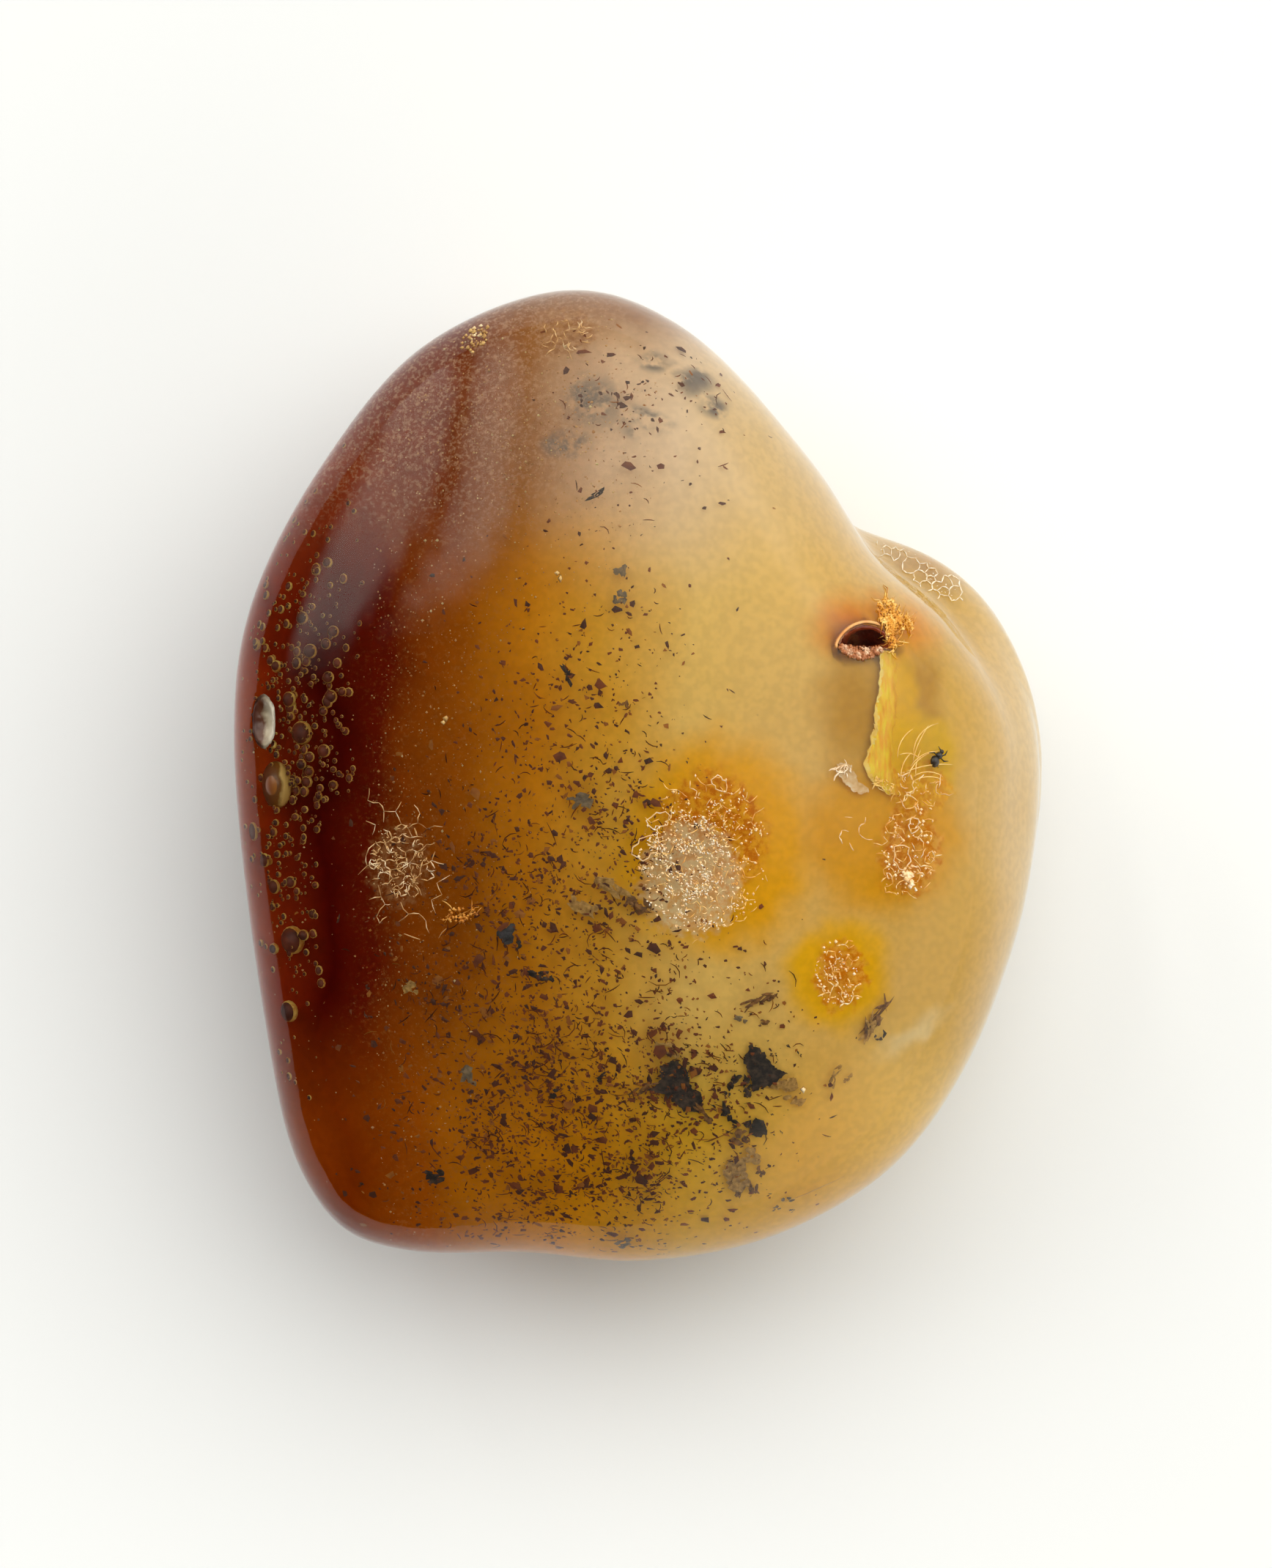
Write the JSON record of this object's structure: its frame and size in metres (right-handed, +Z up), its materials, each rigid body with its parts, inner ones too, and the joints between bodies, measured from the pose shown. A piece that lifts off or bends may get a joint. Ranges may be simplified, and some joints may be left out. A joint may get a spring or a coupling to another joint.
{
  "type": "amber piece",
  "caption": "Polished pebble of amber with cloudy, dark and clear zones, plant debris, bubbles, crusted pits and a slit-shaped hole, lying on its back.",
  "frame": {"origin": "middle of the box around the piece, at its rest face", "axes": "+Z up through the polished front; +Y along the length, towards the narrow end; +X to the right, seen from the front"},
  "size_m": [0.0342, 0.041, 0.017],
  "materials": {
    "amber": "polished natural resin, part clear and part cloudy"
  },
  "bodies": {
    "root": {"amber": "amber"}
  },
  "joints": []
}
